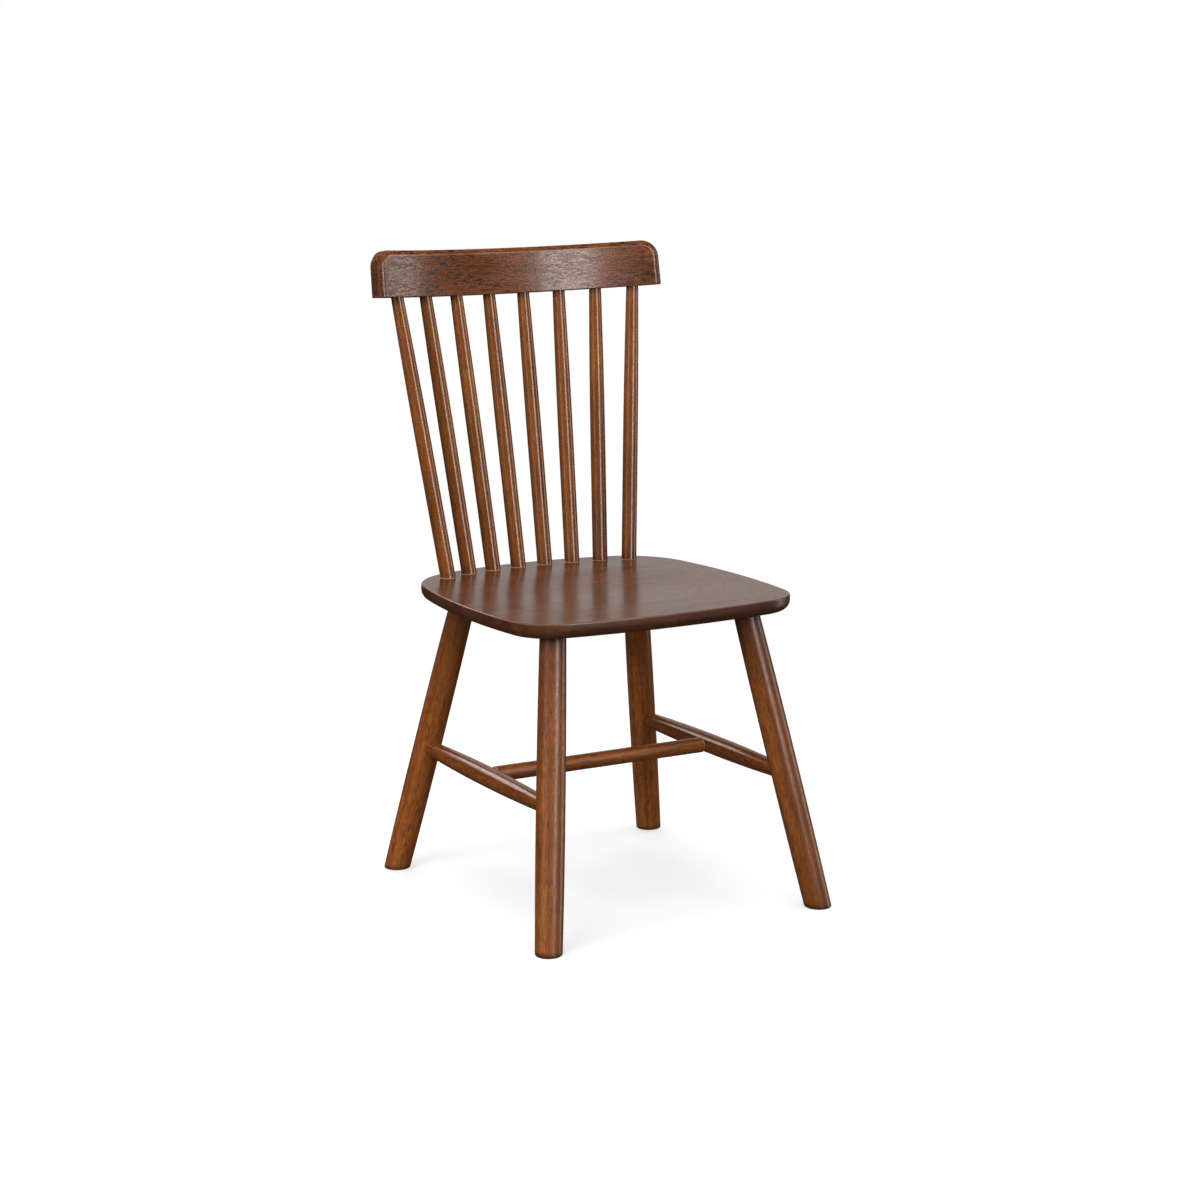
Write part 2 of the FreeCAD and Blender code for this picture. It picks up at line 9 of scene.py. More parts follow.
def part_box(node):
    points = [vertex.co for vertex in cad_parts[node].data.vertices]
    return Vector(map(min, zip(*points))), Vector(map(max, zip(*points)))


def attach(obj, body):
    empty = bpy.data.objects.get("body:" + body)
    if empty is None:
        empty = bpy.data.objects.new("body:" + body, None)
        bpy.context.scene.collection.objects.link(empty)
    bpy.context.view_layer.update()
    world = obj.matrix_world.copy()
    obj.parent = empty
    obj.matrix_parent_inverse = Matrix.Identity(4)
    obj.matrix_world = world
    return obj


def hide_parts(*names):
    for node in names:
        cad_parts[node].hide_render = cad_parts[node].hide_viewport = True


# Spindle-back dining chair in stained, lacquered wood. Metres, +Z up, the chair faces -Y.
# Left and right are those of someone who stands in front of it.
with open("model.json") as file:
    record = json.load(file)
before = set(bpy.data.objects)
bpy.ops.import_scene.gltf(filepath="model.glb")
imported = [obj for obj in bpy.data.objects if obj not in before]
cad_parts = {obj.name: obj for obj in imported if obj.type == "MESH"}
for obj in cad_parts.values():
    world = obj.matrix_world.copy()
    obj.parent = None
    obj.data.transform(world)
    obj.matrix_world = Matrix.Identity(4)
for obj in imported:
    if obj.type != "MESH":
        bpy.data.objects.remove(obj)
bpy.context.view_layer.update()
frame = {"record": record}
record = frame["record"]
feet = {mount["name"]: np.array(mount["pos_m"]) for mount in record["mounts"]}
feetMiddle = sum(feet.values()) / len(feet)
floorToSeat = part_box("seat")[1].z
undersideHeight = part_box("seat")[0].z
weldReach = 1e-6  # points nearer than this are one point
poleShare = 0.3  # the first and last ring of a turned piece, as a share of the next
print("frame loaded, middle of the feet at", feetMiddle.round(4))


# numpy helpers: a turned shape is a stack of closed rings, rows[ring, point] = (x, y, z)
def unit(v):
    return v / np.linalg.norm(v)


def fromFeet(x, y, z):
    return np.array([x, y, z]) + feetMiddle


def smoothFade(x, start, end):
    # 1 up to start, 0 from end on, an S curve between
    t = np.clip((x - start) / (end - start), 0, 1)
    return 1 - t * t * (3 - 2 * t)


def roundOff(radius, steps):
    # a quarter round: inset = radius * (1 - sin(turn)), drop = radius * (1 - cos(turn))
    turn = np.linspace(0, math.pi / 2, steps)
    return radius * (1 - np.sin(turn)), radius * (1 - np.cos(turn))


def perPoint(values, count):
    # one value for each ring, the same at all its points
    return np.repeat(values[:, None], count, 1)


def ringFaces(ringCount, perRing):
    # quads between each ring and the next, the last point joined to the first
    ring = np.arange(ringCount - 1)[:, None] * perRing
    here = np.arange(perRing)[None, :]
    after = (here + 1) % perRing
    corners = [ring + here, ring + after, ring + perRing + after, ring + perRing + here]
    return np.stack(np.broadcast_arrays(*corners), -1).reshape(-1, 4)


def fanFaces(ringStart, perRing, pole, flip):
    # triangles between one ring and a single point
    here = np.arange(perRing)
    after = (here + 1) % perRing
    sides = [ringStart + after, ringStart + here] if flip else [ringStart + here, ringStart + after]
    return np.stack([*sides, np.full(perRing, pole)], -1)


def finishPiece(name, mesh, fibre, wearAndHighlight, dusk, node, finish):
    # the wood's own coordinates, the lighter edges (wear and painted highlights) and the darker places
    # (stain and painted shade) go into the mesh as attributes
    mesh.attributes.new("grain", "FLOAT_VECTOR", "POINT").data.foreach_set("vector", fibre.reshape(-1))
    mesh.attributes.new("arris", "FLOAT", "POINT").data.foreach_set("value", wearAndHighlight)
    mesh.attributes.new("stainAndShade", "FLOAT", "POINT").data.foreach_set("value", dusk)
    mesh.materials.append(woods[finish])
    piece = bpy.data.objects.new(name, mesh)
    bpy.context.scene.collection.objects.link(piece)
    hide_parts(node)
    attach(piece, "root")
    return piece


def addPiece(name, node, finish, rows, grain, arris=0.0, stainAndShade=0.0):
    # closes a stack of rings with a pole at each end.
    # grain is the place in the uncut wood, +X along its fibres
    ringCount, perRing, _ = rows.shape
    lastRing = (ringCount - 1) * perRing
    pole = ringCount * perRing
    points = np.concatenate([rows.reshape(-1, 3), rows[:1].mean(1), rows[-1:].mean(1)])
    fibre = np.concatenate([grain.reshape(-1, 3), grain[:1].mean(1), grain[-1:].mean(1)])
    wearAndHighlight, dusk = (
        np.append(np.broadcast_to(values, rows.shape[:2]).reshape(-1), [0, 0]) for values in (arris, stainAndShade)
    )
    quads = ringFaces(ringCount, perRing)
    tris = np.concatenate([fanFaces(0, perRing, pole, True), fanFaces(lastRing, perRing, pole + 1, False)])
    # the sign of the enclosed volume says whether the faces look outwards
    split = np.concatenate([tris, quads[:, :3], quads[:, [0, 2, 3]]])
    a, b, c = (points[split[:, k]] for k in range(3))
    if np.einsum("ij,ij->i", a, np.cross(b, c)).sum() < 0:
        quads, tris = quads[:, ::-1], tris[:, ::-1]
    mesh = bpy.data.meshes.new(name)
    mesh.from_pydata(points.tolist(), [], quads.tolist() + tris.tolist())
    mesh.polygons.foreach_set("use_smooth", np.ones(len(mesh.polygons), bool))
    return finishPiece(name, mesh, fibre, wearAndHighlight, dusk, node, finish)


def addPatches(name, node, finish, grids, grains, arrises, stains):
    # joins open grids along their common edges into one closed mesh.
    # the last grid's last ring goes round one flat face
    points, fibre = (np.concatenate([part.reshape(-1, 3) for part in parts]) for parts in (grids, grains))
    wearAndHighlight, dusk = (np.concatenate([part.reshape(-1) for part in parts]) for parts in (arrises, stains))
    faces, start = [], 0
    for grid in grids:
        index = np.arange(grid.shape[0] * grid.shape[1]).reshape(grid.shape[:2]) + start
        corners = [index[:-1, :-1], index[:-1, 1:], index[1:, 1:], index[1:, :-1]]
        faces.append(np.stack(corners, -1).reshape(-1, 4))
        start += index.size
    key = np.round(points / weldReach).astype(np.int64)
    _, first, same = np.unique(key, axis=0, return_index=True, return_inverse=True)
    same = same.reshape(-1)
    quads = same[np.concatenate(faces)]
    last = np.arange(start)[-grids[-1].shape[1]:-1]
    mesh = bpy.data.meshes.new(name)
    mesh.from_pydata(points[first].tolist(), [], quads.tolist() + [same[last].tolist()])
    smooth = np.ones(len(mesh.polygons), bool)
    smooth[-1] = False
    mesh.polygons.foreach_set("use_smooth", smooth)
    shell = bmesh.new()
    shell.from_mesh(mesh)
    bmesh.ops.recalc_face_normals(shell, faces=shell.faces)
    shell.to_mesh(mesh)
    shell.free()
    return finishPiece(name, mesh, fibre[first], wearAndHighlight[first], dusk[first], node, finish)


def turnedPiece(name, node, finish, ends, along, radius, level, around, seed, arris=0.0, stainAndShade=0.0):
    # point = low + (along - level * radius * rise / axisRise) * axis
    #         + radius * (cos(turn) * side + sin(turn) * across)
    # level 1 makes a ring lie flat, level 0 leaves it square to the axis
    low, high = ends
    along, radius, level = (np.asarray(values, float)[:, None] for values in (along, radius, level))
    axis = unit(high - low)
    # any direction well away from the axis will do
    helper = np.array([0.0, 0.0, 1.0]) if abs(axis[2]) < 0.7 else np.array([0.0, 1.0, 0.0])
    side = unit(np.cross(axis, helper))
    across = np.cross(axis, side)
    turn = np.arange(around) * 2 * math.pi / around
    spoke = np.cos(turn)[:, None] * side + np.sin(turn)[:, None] * across
    rise = spoke[:, 2][None, :]
    slide = along - level * radius * rise / (axis[2] if abs(axis[2]) > 0.3 else 1)
    rows = low + slide[..., None] * axis + radius[..., None] * spoke[None]
    shift = np.random.default_rng(seed).uniform(-5, 5, 3)
    grain = np.stack([slide, radius * np.cos(turn)[None, :], radius * np.sin(turn)[None, :]], -1) + shift
    wearAndHighlight, dusk = (np.broadcast_to(values, len(rows))[:, None] for values in (arris, stainAndShade))
    return addPiece(name, node, finish, rows, grain, wearAndHighlight, dusk)


# Camera: at the photograph's place, in front of the chair's left side and a little above its back
camera = {
    "place": fromFeet(-1.93992, -3.41738, 1.20813),
    "heading": -29.541,
    "lookDown": 11.162,
    "roll": -0.115,
    "focalPixels": 2755.72,
    "imagePixels": 1200,
    "sensor": 36,
    "clipEnd": 60,
}


def addCamera():
    turn, dip, roll = (math.radians(camera[key]) for key in ("heading", "lookDown", "roll"))
    level = math.cos(dip)
    forward = Vector((-math.sin(turn) * level, math.cos(turn) * level, -math.sin(dip)))
    right = Vector((math.cos(turn), math.sin(turn), 0))
    above = right.cross(forward)
    rolledRight = math.cos(roll) * right + math.sin(roll) * above
    rolledUp = math.cos(roll) * above - math.sin(roll) * right
    data = bpy.data.cameras.new("camera")
    data.sensor_width = camera["sensor"]
    data.lens = camera["focalPixels"] / camera["imagePixels"] * camera["sensor"]
    data.clip_end = camera["clipEnd"]
    thing = bpy.data.objects.new("camera", data)
    thing.matrix_world = Matrix.Translation(camera["place"]) @ Matrix(
        (rolledRight, rolledUp, -forward)
    ).transposed().to_4x4()
    bpy.context.scene.collection.objects.link(thing)
    bpy.context.scene.camera = thing


# Shader helpers
def newGroup(name, inputs, outputs):
    group = bpy.data.node_groups.new(name, "ShaderNodeTree")
    for inOut, sockets in (("INPUT", inputs), ("OUTPUT", outputs)):
        for label, kind in sockets:
            group.interface.new_socket(name=label, in_out=inOut, socket_type=kind)
    return group


def addNode(tree, kind, settings=None, values=None, sources=None):
    # settings are the node's own properties, values its socket values, sources the sockets that feed it
    node = tree.nodes.new(kind)
    for key, value in (settings or {}).items():
        setattr(node, key, value)
    for key, value in (values or {}).items():
        node.inputs[key].default_value = value
    for key, source in (sources or {}).items():
        tree.links.new(source, node.inputs[key])
    return node


def mathNode(tree, operation, a, b, clamp=False):
    # a and b are each a number or a socket
    node = addNode(tree, "ShaderNodeMath", {"operation": operation, "use_clamp": clamp})
    for index, value in enumerate((a, b)):
        if isinstance(value, (int, float)):
            node.inputs[index].default_value = value
        else:
            tree.links.new(value, node.inputs[index])
    return node.outputs[0]


def vectorNode(tree, operation, values, sources):
    return addNode(tree, "ShaderNodeVectorMath", {"operation": operation}, values, sources).outputs[0]


def rangeNode(tree, value, fromRange, toRange=(0, 1), interpolation="LINEAR"):
    limits = {"From Min": fromRange[0], "From Max": fromRange[1], "To Min": toRange[0], "To Max": toRange[1]}
    settings = {"interpolation_type": interpolation}
    return addNode(tree, "ShaderNodeMapRange", settings, limits, {"Value": value}).outputs["Result"]


def mixNode(tree, share, first, second):
    # share 0 gives the first colour and 1 the second. each is a plain colour or a socket
    node = addNode(tree, "ShaderNodeMix", {"data_type": "RGBA"}, sources={0: share})
    for index, colour in ((6, first), (7, second)):
        if isinstance(colour, tuple):
            node.inputs[index].default_value = (*colour, 1)
        else:
            tree.links.new(colour, node.inputs[index])
    return node.outputs[2]


# Studio: a white floor, boxes that show as lines and sheen on the lacquer, and panels of soft light
studio = {
    "aim": (0, 0, 0.5),
    "floorSides": 96,
    "floorRough": 0.9,
    "floorSheen": 0.1,
    "floorRadius": 1.75,
    "floorClear": 0.95,
    "floorColour": 0.46,
    "floorGlow": 0.475,
    "floorBounce": 0.10,
    "backdrop": 1.0,
    "room": 0.035,
    # name: azimuth from the front to the right, elevation, distance, width, height, power.
    # the boxes only show as gloss, and the panels only give soft light
    "boxes": {
        "frontBox": (10, 21, 3.2, 0.95, 2.3, 57),
        "cornerBox": (36, 38, 3.2, 1.0, 0.8, 6),
        "sideBox": (72, 8, 3.2, 0.80, 3.4, 30),
        "leftBox": (-82, 20, 3.2, 1.50, 2.2, 13),
        "backBox": (150, 14, 4.0, 3.20, 2.2, 12),
        "rearBox": (-165, 27, 3.2, 1.4, 0.8, 14),
    },
    "panels": {
        "topPanel": (0, 89, 3.6, 5.0, 5.0, 205),
        "leftPanel": (-65, 22, 4.0, 3.0, 3.0, 155),
        "rearPanel": (170, 30, 4.0, 3.0, 3.0, 60),
        "frontPanel": (-5, 20, 4.0, 3.0, 3.0, 80),
        "sidePanel": (92, 10, 4.0, 3.0, 3.0, 85),
    },
}


def addLight(name, azimuth, elevation, distance, width, height, power, gloss):
    a, e = math.radians(azimuth), math.radians(elevation)
    away = Vector((math.sin(a) * math.cos(e), -math.cos(a) * math.cos(e), math.sin(e)))
    data = bpy.data.lights.new(name, "AREA")
    data.shape = "RECTANGLE"
    data.size = width
    data.size_y = height
    data.energy = power
    thing = bpy.data.objects.new(name, data)
    thing.location = Vector(studio["aim"]) + away * distance
    thing.rotation_mode = "QUATERNION"
    thing.rotation_quaternion = away.to_track_quat("Z", "Y")
    thing.visible_camera = False
    thing.visible_glossy = gloss
    thing.visible_diffuse = not gloss
    bpy.context.scene.collection.objects.link(thing)


def addFloor():
    # the floor is white paper that fades into the backdrop far from the chair.
    # it looks bright to the camera, and throws little light back at the wood
    sides = studio["floorSides"]
    turn = np.arange(sides) * 2 * math.pi / sides
    rim = studio["floorRadius"] * np.stack([np.cos(turn), np.sin(turn), 0 * turn], -1)
    mesh = bpy.data.meshes.new("floor")
    mesh.from_pydata(rim.tolist(), [], [list(range(sides))])
    floor = bpy.data.objects.new("floor", mesh)
    bpy.context.scene.collection.objects.link(floor)
    floor.visible_glossy = False
    paint = bpy.data.materials.new("floorWhite")
    paint.use_nodes = True
    tree = paint.node_tree
    shader = tree.nodes["Principled BSDF"]
    shader.inputs["Roughness"].default_value = studio["floorRough"]
    shader.inputs["Specular IOR Level"].default_value = studio["floorSheen"]
    shader.inputs["Emission Color"].default_value = (1, 1, 1, 1)
    seen = addNode(tree, "ShaderNodeLightPath").outputs["Is Camera Ray"]
    bounce, shown = ((studio[key],) * 3 for key in ("floorBounce", "floorColour"))
    place = addNode(tree, "ShaderNodeTexCoord").outputs["Object"]
    distance = addNode(tree, "ShaderNodeVectorMath", {"operation": "LENGTH"}, sources={0: place})
    reach = (studio["floorRadius"], studio["floorClear"])
    fade = rangeNode(tree, distance.outputs["Value"], reach, interpolation="SMOOTHSTEP")
    tree.links.new(mixNode(tree, seen, bounce, shown), shader.inputs["Base Color"])
    tree.links.new(mathNode(tree, "MULTIPLY", seen, studio["floorGlow"]), shader.inputs["Emission Strength"])
    tree.links.new(fade, shader.inputs["Alpha"])
    mesh.materials.append(paint)


def addBackdrop():
    # white for the camera, while the room that the wood reflects is dim
    world = bpy.data.worlds.new("studio")
    bpy.context.scene.world = world
    world.use_nodes = True
    tree = world.node_tree
    room = tree.nodes["Background"]
    room.inputs["Color"].default_value = (1, 1, 1, 1)
    seen = addNode(tree, "ShaderNodeLightPath").outputs["Is Camera Ray"]
    strength = rangeNode(tree, seen, (0, 1), (studio["room"], studio["backdrop"]))
    tree.links.new(strength, room.inputs["Strength"])


def addStudio():
    bpy.context.scene.view_settings.view_transform = "Standard"
    addFloor()
    addBackdrop()
    for kind, gloss in (("boxes", True), ("panels", False)):
        for name, values in studio[kind].items():
            addLight(name, *values, gloss)


addCamera()
addStudio()
print("camera and studio ready")


# Timber: noises stretched along the fibres. scale is in cells per metre, first along the fibres,
# shift is in metres, and range is where a mask begins and where it is full
timber = {
    "sway": {"scale": (5, 22, 22), "detail": 2.0, "shift": 0.010},
    "wriggle": {"scale": (60, 150, 150), "detail": 1.0, "shift": 0.005},
    "bands": {"scale": (2.0, 95, 95), "detail": 3.0, "roughness": 0.55, "share": 0.62},
    "fibres": {"scale": (18, 620, 620), "detail": 4.0, "roughness": 0.65, "share": 0.38, "relief": 0.25},
    "growth": {"scale": (3.2, 34, 34), "detail": 1.5, "lines": 26.0, "width": 0.20},
    "coarsePores": {"scale": (62, 480, 480), "detail": 1.0, "range": (0.515, 0.565)},
    "finePores": {"scale": (120, 800, 800), "detail": 1.0, "range": (0.52, 0.57), "depth": 0.6},
    "patches": {"scale": (14, 60, 60), "detail": 2.0, "range": (0.38, 0.62), "least": 0.60},
    "cloud": {"scale": (9, 28, 28), "detail": 3.0},
}


def buildWoodGroup():
    # one group gives the figure, the pores and the relief of the wood at a place in the uncut timber
    outputs = ("Figure", "Lines", "Pores", "Cloud", "Relief")
    floats = [(label, "NodeSocketFloat") for label in outputs]
    tree = newGroup("stainedTimber", [("Grain", "NodeSocketVector")], floats)
    grain = tree.nodes.new("NodeGroupInput").outputs["Grain"]
    outside = tree.nodes.new("NodeGroupOutput")

    def noise(part, place, output="Fac"):
        look = timber[part]
        stretched = vectorNode(tree, "MULTIPLY", {1: look["scale"]}, {0: place})
        values = {"Scale": 1.0, "Detail": look["detail"], "Roughness": look.get("roughness", 0.5)}
        node = addNode(tree, "ShaderNodeTexNoise", values=values, sources={"Vector": stretched})
        return node.outputs[output]

    def bend(part, place):
        # place + shift * noise, across the fibres only
        shift = (0, timber[part]["shift"], timber[part]["shift"])
        return vectorNode(tree, "MULTIPLY_ADD", {1: shift}, {0: noise(part, grain, "Color"), 2: place})

    def mask(part, place):
        return rangeNode(tree, noise(part, place), timber[part]["range"], interpolation="SMOOTHSTEP")

    def times(a, b):
        return mathNode(tree, "MULTIPLY", a, b)

    # a slow bend of the fibres, and a short wriggle that keeps the pores from running straight
    bent = bend("wriggle", bend("sway", grain))
    # broad growth bands and fine fibres
    fibres = noise("fibres", bent)
    broad = times(noise("bands", bent), timber["bands"]["share"])
    figure = mathNode(tree, "ADD", broad, times(fibres, timber["fibres"]["share"]))
    # growth lines: contours of a slow noise, so they wander along the fibres and close in long ovals
    growth = timber["growth"]
    phase = mathNode(tree, "PINGPONG", times(noise("growth", bent), growth["lines"]), 1.0)
    lines = rangeNode(tree, phase, (0.0, growth["width"]), (1.0, 0.0), "SMOOTHSTEP")
    # open pores: short dark dashes along the fibres, the coarse ones in patches
    patches = mathNode(tree, "ADD", mask("patches", grain), timber["patches"]["least"], True)
    coarse = times(mask("coarsePores", bent), patches)
    fine = times(mask("finePores", bent), timber["finePores"]["depth"])
    pores = mathNode(tree, "MAXIMUM", coarse, fine)
    relief = mathNode(tree, "SUBTRACT", times(fibres, timber["fibres"]["relief"]), pores)
    for label, source in zip(outputs, (figure, lines, pores, noise("cloud", grain), relief)):
        tree.links.new(source, outside.inputs[label])
    return tree


timberGroup = buildWoodGroup()

# Finishes: colours are linear, from the dark to the light bands, and slot is the name in the record.
# pore and line say how dark those are, dull and soak how matt the pores and the thick stain and painted
# shade are.
# fineness above 1 makes the figure finer
finishes = {
    "seatWood": {
        "slot": "seat_wood", "dark": (0.060, 0.020, 0.008), "light": (0.125, 0.043, 0.016), "rough": 0.22,
        "pore": 0.45, "line": 0.20, "relief": 0.02, "fineness": 1.0, "dull": 0.04, "soak": 0.6,
    },
    "crestWood": {
        "slot": "crest_wood", "dark": (0.115, 0.032, 0.009), "light": (0.202, 0.062, 0.018), "rough": 0.15,
        "pore": 0.95, "line": 0.35, "relief": 0.70, "fineness": 1.0, "dull": 0.14, "soak": 0.05,
    },
    "spindleWood": {
        "slot": "spindle_wood", "dark": (0.130, 0.036, 0.006), "light": (0.250, 0.081, 0.016), "rough": 0.11,
        "pore": 0.40, "line": 0.12, "relief": 0.10, "fineness": 1.2, "dull": 0.12, "soak": 0.05,
    },
    "legWood": {
        "slot": "leg_wood", "dark": (0.185, 0.050, 0.009), "light": (0.370, 0.115, 0.024), "rough": 0.26,
        "pore": 0.58, "line": 0.15, "relief": 0.12, "fineness": 1.2, "dull": 0.10, "soak": 0.05,
    },
    "stretcherWood": {
        "slot": "leg_wood", "dark": (0.115, 0.032, 0.007), "light": (0.240, 0.073, 0.016), "rough": 0.15,
        "pore": 0.50, "line": 0.12, "relief": 0.05, "fineness": 1.2, "dull": 0.08, "soak": 0.05,
    },
}
# what all finishes have in common
lacquer = {
    "figureRange": (0.36, 0.64),
    "cloudRange": (0.3, 0.7),
    "cloudTones": (0.80, 1.16),
    "cloudRough": 0.10,
    "poreShade": 0.22,
    "edgeWearAndHighlight": 0.07,
    "edgeCloud": 1.5,
    "stainShade": 0.12,
    "reliefDepth": 0.0001,
    "refraction": 1.5,
}


def woodMaterial(name):
    look = finishes[name]
    material = bpy.data.materials.new(name)
    material.use_nodes = True
    tree = material.node_tree
    shader = tree.nodes["Principled BSDF"]
    grain, arris, stainAndShade = (
        addNode(tree, "ShaderNodeAttribute", {"attribute_name": label}).outputs[output]
        for label, output in (("grain", "Vector"), ("arris", "Fac"), ("stainAndShade", "Fac"))
    )
    place = vectorNode(tree, "SCALE", {"Scale": look["fineness"]}, {0: grain})
    wood = addNode(tree, "ShaderNodeGroup", {"node_tree": timberGroup}, sources={"Grain": place}).outputs

    def times(a, b, clamp=False):
        return mathNode(tree, "MULTIPLY", a, b, clamp)

    # stain in bands, with slow clouds, dark growth lines and darker pores
    figure = rangeNode(tree, wood["Figure"], lacquer["figureRange"])
    bands = mixNode(tree, figure, look["dark"], look["light"])
    cloudTone = rangeNode(tree, wood["Cloud"], lacquer["cloudRange"], lacquer["cloudTones"])
    clouded = vectorNode(tree, "SCALE", {}, {0: bands, "Scale": cloudTone})
    shade = mathNode(tree, "MAXIMUM", times(wood["Pores"], look["pore"]), times(wood["Lines"], look["line"]))
    poreColour = tuple(lacquer["poreShade"] * part for part in look["dark"])
    pored = mixNode(tree, shade, clouded, poreColour)
    # lighter along marked edges: wear on the cross stretcher's ends, and painted highlights along the seat's
    # top round, the crest rail's rounds and the spindles' lips
    wearAndHighlightShare = times(arris, times(wood["Cloud"], lacquer["edgeCloud"], True), True)
    edged = mixNode(tree, wearAndHighlightShare, pored, tuple(part + lacquer["edgeWearAndHighlight"] for part in look["light"]))
    # darker where the stainAndShade attribute says: real stain in the crest rail's end grain, and painted
    # shade at the joints and feet, down the seat's edge, on the spindles' lower parts and on the legs, more
    # towards their tops
    stainAndShadeColour = tuple(lacquer["stainShade"] * part for part in look["light"])
    tree.links.new(mixNode(tree, stainAndShade, edged, stainAndShadeColour), shader.inputs["Base Color"])
    # the lacquer is duller over pores, clouds, thick stain and painted shade
    roughness = look["rough"] - lacquer["cloudRough"] / 2
    amounts = ((wood["Pores"], look["dull"]), (wood["Cloud"], lacquer["cloudRough"]), (stainAndShade, look["soak"]))
    for source, amount in amounts:
        roughness = mathNode(tree, "ADD", times(source, amount), roughness)
    tree.links.new(roughness, shader.inputs["Roughness"])
    depth = {"Strength": look["relief"], "Distance": lacquer["reliefDepth"]}
    bump = addNode(tree, "ShaderNodeBump", values=depth, sources={"Height": wood["Relief"]})
    tree.links.new(bump.outputs["Normal"], shader.inputs["Normal"])
    shader.inputs["IOR"].default_value = lacquer["refraction"]
    return material


woods = {name: woodMaterial(name) for name in finishes}
print("wood finishes ready")


# Seat: a board with a soft hollow, a small round above and a large one below its edge
seat = {
    "thickness": 0.0225,
    "halfWidth": 0.233,
    "widestForward": 0.025,
    "frontReach": 0.211,
    "backReach": 0.2445,
    "frontBow": 1.290,
    "sideBow": 0.965,
    "backBow": 0.535,
    "frontCorner": 0.071,
    "backCorner": 0.109,
    "topRound": 0.0022,
    "underRound": 0.014,
    "hollow": 0.004,
    "hollowHalfWidth": 0.205,
    "hollowHalfLength": 0.170,
    "hollowMiddle": 0.010,
    # how finely it is divided. the shares run from the middle of a face to its rim
    "outlinePoints": 420,
    "roundSteps": 9,
    "faceRings": 64,
    "faceShares": (0.015, 0.97),
    "lastShares": (0.985, 0.995),
    "underRings": 14,
    "underShares": (0.98, 0.02),
    "rim": 0.0006,
    "sideTop": 0.002,
    # the board is cut flat through the log, so its figure is a little broader across the face
    "grainStretch": (1, 0.9, 1),
    "grainPlace": (3.1, 0.7, 1.9),
    # painted highlight along the top's round, and painted shade on the edge below it
    "topRoundHighlight": 0.5,
    "edgeShade": 0.25,
}


def cornerCentre(centreA, bowA, centreB, bowB, corner, towards):
    # centre of an arc that lies inside two larger ones and touches both
    reachA, reachB = bowA - corner, bowB - corner
    gap = centreB - centreA
    apart = np.linalg.norm(gap)
    ahead = (reachA ** 2 - reachB ** 2 + apart ** 2) / (2 * apart)
    aside = math.sqrt(reachA ** 2 - ahead ** 2)
    direction = gap / apart
    across = np.array([-direction[1], direction[0]])
    options = [centreA + direction * ahead + across * aside * sign for sign in (1, -1)]
    return max(options, key=lambda point: point @ towards)


seatFront = np.array([0, seat["frontBow"] - seat["frontReach"]])
seatBack = np.array([0, seat["backReach"] - seat["backBow"]])
seatSide = np.array([seat["halfWidth"] - seat["sideBow"], -seat["widestForward"]])
seatFrontCorner = cornerCentre(
    seatFront, seat["frontBow"], seatSide, seat["sideBow"], seat["frontCorner"], np.array([1, -1])
)
seatBackCorner = cornerCentre(
    seatBack, seat["backBow"], seatSide, seat["sideBow"], seat["backCorner"], np.array([1, 1])
)


def heading(centre, point):
    return math.atan2(point[1] - centre[1], point[0] - centre[0])


def seatOutline(count):
    # eight arcs, each tangent to the next: place = centre + radius * outward, sampled at even lengths
    front = heading(seatFront, seatFrontCorner)
    sideFront = heading(seatSide, seatFrontCorner)
    sideBack = heading(seatSide, seatBackCorner)
    back = heading(seatBack, seatBackCorner)
    flip = np.array([-1, 1])
    arcs = [
        (seatFront, seat["frontBow"], -math.pi - front, front),
        (seatFrontCorner, seat["frontCorner"], front, sideFront),
        (seatSide, seat["sideBow"], sideFront, sideBack),
        (seatBackCorner, seat["backCorner"], sideBack, back),
        (seatBack, seat["backBow"], back, math.pi - back),
        (seatBackCorner * flip, seat["backCorner"], math.pi - back, math.pi - sideBack),
        (seatSide * flip, seat["sideBow"], math.pi - sideBack, math.pi - sideFront),
        (seatFrontCorner * flip, seat["frontCorner"], math.pi - sideFront, math.pi - front),
    ]
    centres = np.array([arc[0] for arc in arcs])
    radii, first, last = (np.array([arc[k] for arc in arcs]) for k in (1, 2, 3))
    turns = np.where(last < first, last + 2 * math.pi, last) - first
    lengths = radii * turns
    ends = np.cumsum(lengths)
    place = np.arange(count) / count * ends[-1]
    which = np.searchsorted(ends, place, side="right")
    angle = first[which] + (place - (ends - lengths)[which]) / radii[which]
    outward = np.stack([np.cos(angle), np.sin(angle)], -1)
    return centres[which] + radii[which, None] * outward, outward


def seatEdge():
    # from the top face round to the bottom face: inset from the outline, and height
    top, under, bottom = seat["topRound"], seat["underRound"], -seat["thickness"]
    topInset, topDrop = roundOff(top, seat["roundSteps"])
    underRise, underInset = roundOff(under, seat["roundSteps"])
    inset = np.concatenate([
        [top + seat["rim"]], topInset, [0, 0], underInset[1:], [under + seat["rim"]],
    ])
    height = np.concatenate([
        [0], -topDrop, [-top - seat["sideTop"], bottom + under], bottom + underRise[1:], [bottom],
    ])
    return inset, height


